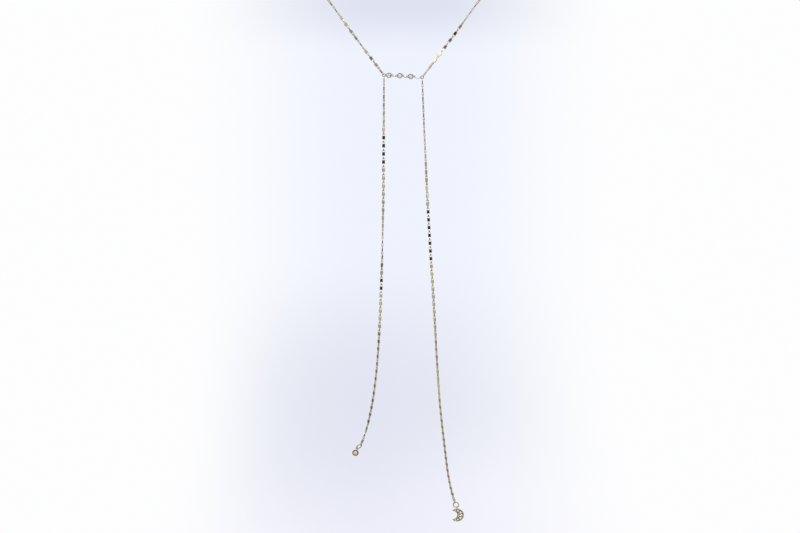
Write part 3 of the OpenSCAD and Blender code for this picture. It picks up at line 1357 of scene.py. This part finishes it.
@dataclass(frozen=True)
class Lamp:
    """A soft rectangular lamp that faces the necklace. It is given in metres and watts."""

    name: str
    place: Point
    size: Span
    power: float
    aim: Point = (0.0, -0.08, -0.15)

    def hang(self) -> None:
        """Adds the lamp to the scene."""
        data = bpy.data.lights.new(self.name, "AREA")
        data.shape = "RECTANGLE"
        data.size, data.size_y = self.size
        data.energy = self.power
        holder = put(self.name, data)
        holder.location = self.place
        way = Vector(self.aim) - Vector(self.place)
        holder.rotation_euler = way.to_track_quat("-Z", "Y").to_euler()


@dataclass(frozen=True)
class BoxPatch:
    """A patch of the light box that the plates mirror.

    Its sides are angles in degrees away from the front, to the left and right alike. Its height is
    that of a direction of length 1.
    """

    colour: Colour
    aside: Span
    aside_soft: float
    height: Span = (-2.0, 2.0)
    height_soft: float = 0.05

    def share(self, aside: Value, height: Value) -> Value:
        """How much of the patch shows in a direction, from 0 to 1."""
        return aside.band(*self.aside, self.aside_soft) * height.band(*self.height, self.height_soft)


# The white of the paper and of what lies beyond it
WHITE: Colour = (0.985, 0.985, 0.995)
# An angle below all others, for a patch that lies straight ahead
AHEAD = -90.0


@dataclass
class Studio:
    """The camera, the pale sweep, the lamps, and a light box whose lights and darks the plates mirror."""

    eye: Point = (-1.59, -588.85, -93.49)
    pitch: float = 11.0
    focal_px: float = 982.0
    width_px: float = 800.0
    sensor_mm: float = 36.0
    view_range: Span = (0.01, 20.0)
    # The sweep in metres: height of its floor and top, place of its front and wall, bend and half width
    floor: float = -0.85
    top: float = 2.2
    front: float = -2.2
    wall: float = 1.35
    bend: float = 0.5
    half: float = 2.6
    bend_rows: int = 17
    columns: int = 9
    paper: Colour = (0.864, 0.893, 0.991)
    low_wall: Colour = (0.28, 0.262, 0.195)
    high_wall: Colour = (0.62, 0.62, 0.63)
    # Strength of the even light that the stones scatter
    even_light: float = 1.05
    patches: tuple[BoxPatch, ...] = (
        # Bright side walls
        BoxPatch((0.62, 0.61, 0.58), (28.0, 54.0), 9.0),
        # Grey panels far to the sides
        BoxPatch((0.42, 0.41, 0.37), (66.0, 104.0), 12.0, (-0.16, 0.25), 0.1),
        # Light below them
        BoxPatch((0.62, 0.59, 0.48), (50.0, 104.0), 10.0, (-0.45, -0.31)),
        # A dark line between the two
        BoxPatch((0.16, 0.15, 0.12), (68.0, 150.0), 7.0, (-0.25, -0.18)),
        # The shaded floor in front
        BoxPatch((0.10, 0.095, 0.06), (AHEAD, 30.0), 16.0, (-0.74, -0.36), 0.08),
        # The edge over the dark opening
        BoxPatch((0.13, 0.12, 0.10), (AHEAD, 42.0), 14.0, (-0.065, 0.0), 0.03),
        # Grey above the opening
        BoxPatch((0.22, 0.22, 0.21), (AHEAD, 16.0), 5.0, (0.01, 0.16)),
        # The dark opening, which blackens the plates that face the front
        BoxPatch((0.045, 0.045, 0.045), (AHEAD, 16.0), 5.0, (-0.30, -0.04), 0.04),
    )
    lamps: tuple[Lamp, ...] = (
        Lamp("top_panel", (0.0, -0.25, 0.75), (0.9, 0.7), 3.0),
        Lamp("front_panel", (0.0, -0.85, 0.75), (0.9, 0.5), 3.6),
        Lamp("left_panel", (-0.69, -0.54, 0.46), (0.95, 0.4), 1.0),
        Lamp("right_panel", (0.8, -0.3, 0.05), (0.4, 0.9), 0.5),
    )

    def camera(self) -> None:
        """Sets the camera at the photograph's angle."""
        data = bpy.data.cameras.new("view")
        data.sensor_width = self.sensor_mm
        data.lens = self.focal_px / self.width_px * data.sensor_width
        data.clip_start, data.clip_end = self.view_range
        holder = put("view", data)
        holder.location = Vector(self.eye) * MM
        holder.rotation_euler = (math.radians(90.0 - self.pitch), 0.0, 0.0)
        bpy.context.scene.camera = holder

    def backdrop(self) -> None:
        """Adds the pale floor, which sweeps up into a back wall."""
        wall, floor, bend = self.wall, self.floor, self.bend
        rises = np.linspace(0, math.pi / 2, self.bend_rows)
        curve = [(wall - bend + bend * math.sin(a), floor + bend - bend * math.cos(a)) for a in rises]
        path = [(self.front, floor), *curve, (wall, self.top)]
        columns = np.linspace(-self.half, self.half, self.columns)
        skin = Skin()
        rows = [skin.ring([Vector((x, y, z)) / MM for x in columns]) for y, z in path]
        for low, high in zip(rows, rows[1:]):
            skin.faces.extend([low[k], low[k + 1], high[k + 1], high[k]] for k in range(len(low) - 1))
        sweep = put("floor", skin.mesh("floor", sharp=32.0))
        sweep.data.materials.append(self._paper())
        sweep.visible_glossy = False
        sweep.visible_diffuse = False

    def _paper(self) -> bpy.types.Material:
        """Writes the sweep's pale paper, which glows with painted light and shade: soft cool bands and a
        faint painted shadow.

        Returns:
            The material.
        """
        mat, graph = new_material("pale_paper")
        across, back, up = graph.parts(graph.add("ShaderNodeTexCoord", output="Object"))
        # Where the painted shadow lies across the paper, a little left of the middle
        painted_shadow_across = (across + 0.12).size().step(0.27, 0.03)
        # Painted light and shade over the paper: each share of the sweep with the colour that it takes
        painted_light_bands = (
            # Painted shade, darker and cooler down the wall
            (up.step(-0.42, -0.74), (0.785, 0.805, 0.90)),
            # Painted light, lighter again on the bend and the floor
            (back.step(1.22, 1.0), (0.871, 0.875, 0.965)),
            # Painted shade high on the wall, and painted light, white again above the camera's view
            (up.step(-0.06, 0.04), (0.737, 0.761, 0.880)),
            (up.step(0.07, 0.55), WHITE),
            # Painted light, white out to both sides
            (across.size().step(0.05, 0.42), WHITE),
            # A faint painted shadow, low down and a little to the left
            (painted_shadow_across * up.step(-0.45, -0.72) * back.step(0.8, 1.15) * 0.6, (0.745, 0.765, 0.87)),
            # Painted light, white towards the camera
            (back.step(0.9, 0.2), WHITE),
        )
        colour: Value | Colour = self.paper
        for share, band_colour in painted_light_bands:
            colour = graph.blend(share, colour, band_colour)
        glow = graph.add("ShaderNodeEmission", inputs={"Color": colour, "Strength": 1.0})
        graph.add("ShaderNodeOutputMaterial", inputs={"Surface": glow})
        return mat

    def world(self) -> None:
        """Writes a light box for mirrored rays, even light for scattered ones and white for the camera."""
        world = bpy.data.worlds.new("light_box")
        world.use_nodes = True
        bpy.context.scene.world = world
        graph = Graph(world.node_tree)
        x, y, z = graph.parts(graph.add("ShaderNodeTexCoord", output="Generated"))
        aside = x.size().angle(y * -1.0)
        seen = graph.blend(z.step(-0.6, 0.6), self.low_wall, self.high_wall)
        for patch in self.patches:
            seen = graph.blend(patch.share(aside, z), seen, patch.colour)
        plain = graph.add("ShaderNodeBackground", inputs={"Color": WHITE})
        even_inputs = {"Color": (1.0, 1.0, 1.0), "Strength": self.even_light}
        even = graph.add("ShaderNodeBackground", inputs=even_inputs)
        box = graph.add("ShaderNodeBackground", inputs={"Color": seen})
        scattered = graph.add("ShaderNodeLightPath", output="Is Diffuse Ray")
        direct = graph.add("ShaderNodeLightPath", output="Is Camera Ray")
        lit = graph.add("ShaderNodeMixShader", inputs={0: scattered, 1: box, 2: even})
        mixed = graph.add("ShaderNodeMixShader", inputs={0: direct, 1: lit, 2: plain})
        graph.add("ShaderNodeOutputWorld", inputs={"Surface": mixed})

    def build(self) -> None:
        """Sets the stage, the lights and the colour view."""
        self.camera()
        self.backdrop()
        self.world()
        for lamp in self.lamps:
            lamp.hang()
        bpy.context.scene.view_settings.view_transform = "Standard"


CHAINS = ("neck_chain_left", "neck_chain_right", "tail_chain_left", "tail_chain_right")
# Node, radius of the middle line and radius of the wire, in millimetres
RINGS = (
    JumpRing("junction_ring_left", 0.75, 0.18),
    JumpRing("junction_ring_right", 0.75, 0.18),
    JumpRing("drop_ring", 1.6, 0.22),
    JumpRing("moon_ring", 1.6, 0.22),
    JumpRing("clasp_ring_left", 1.2, 0.18),
    JumpRing("clasp_ring_right", 1.2, 0.18),
)


def main() -> None:
    """Builds the necklace piece by piece."""
    logging.basicConfig(level=logging.INFO, format="%(name)s: %(message)s", stream=sys.stdout)
    Studio().build()
    finishes, repeater = Finishes(), Repeater()
    link = ChainLink().mesh()
    for node in CHAINS:
        ChainStrand(node).build(link, repeater, finishes)
    for ring in RINGS:
        ring.build(finishes)
    Bar().build(finishes, repeater)
    RoundDrop(Hanging("drop_ring", ring_lean=42.0, lean=20.0, bail_turn=30.0)).build(finishes, repeater)
    MoonDrop(Hanging("moon_ring", ring_lean=-25.0, lean=0.0, bail_turn=0.0)).build(finishes, repeater)
    Clasp().build(finishes)


if __name__ == "__main__":
    main()
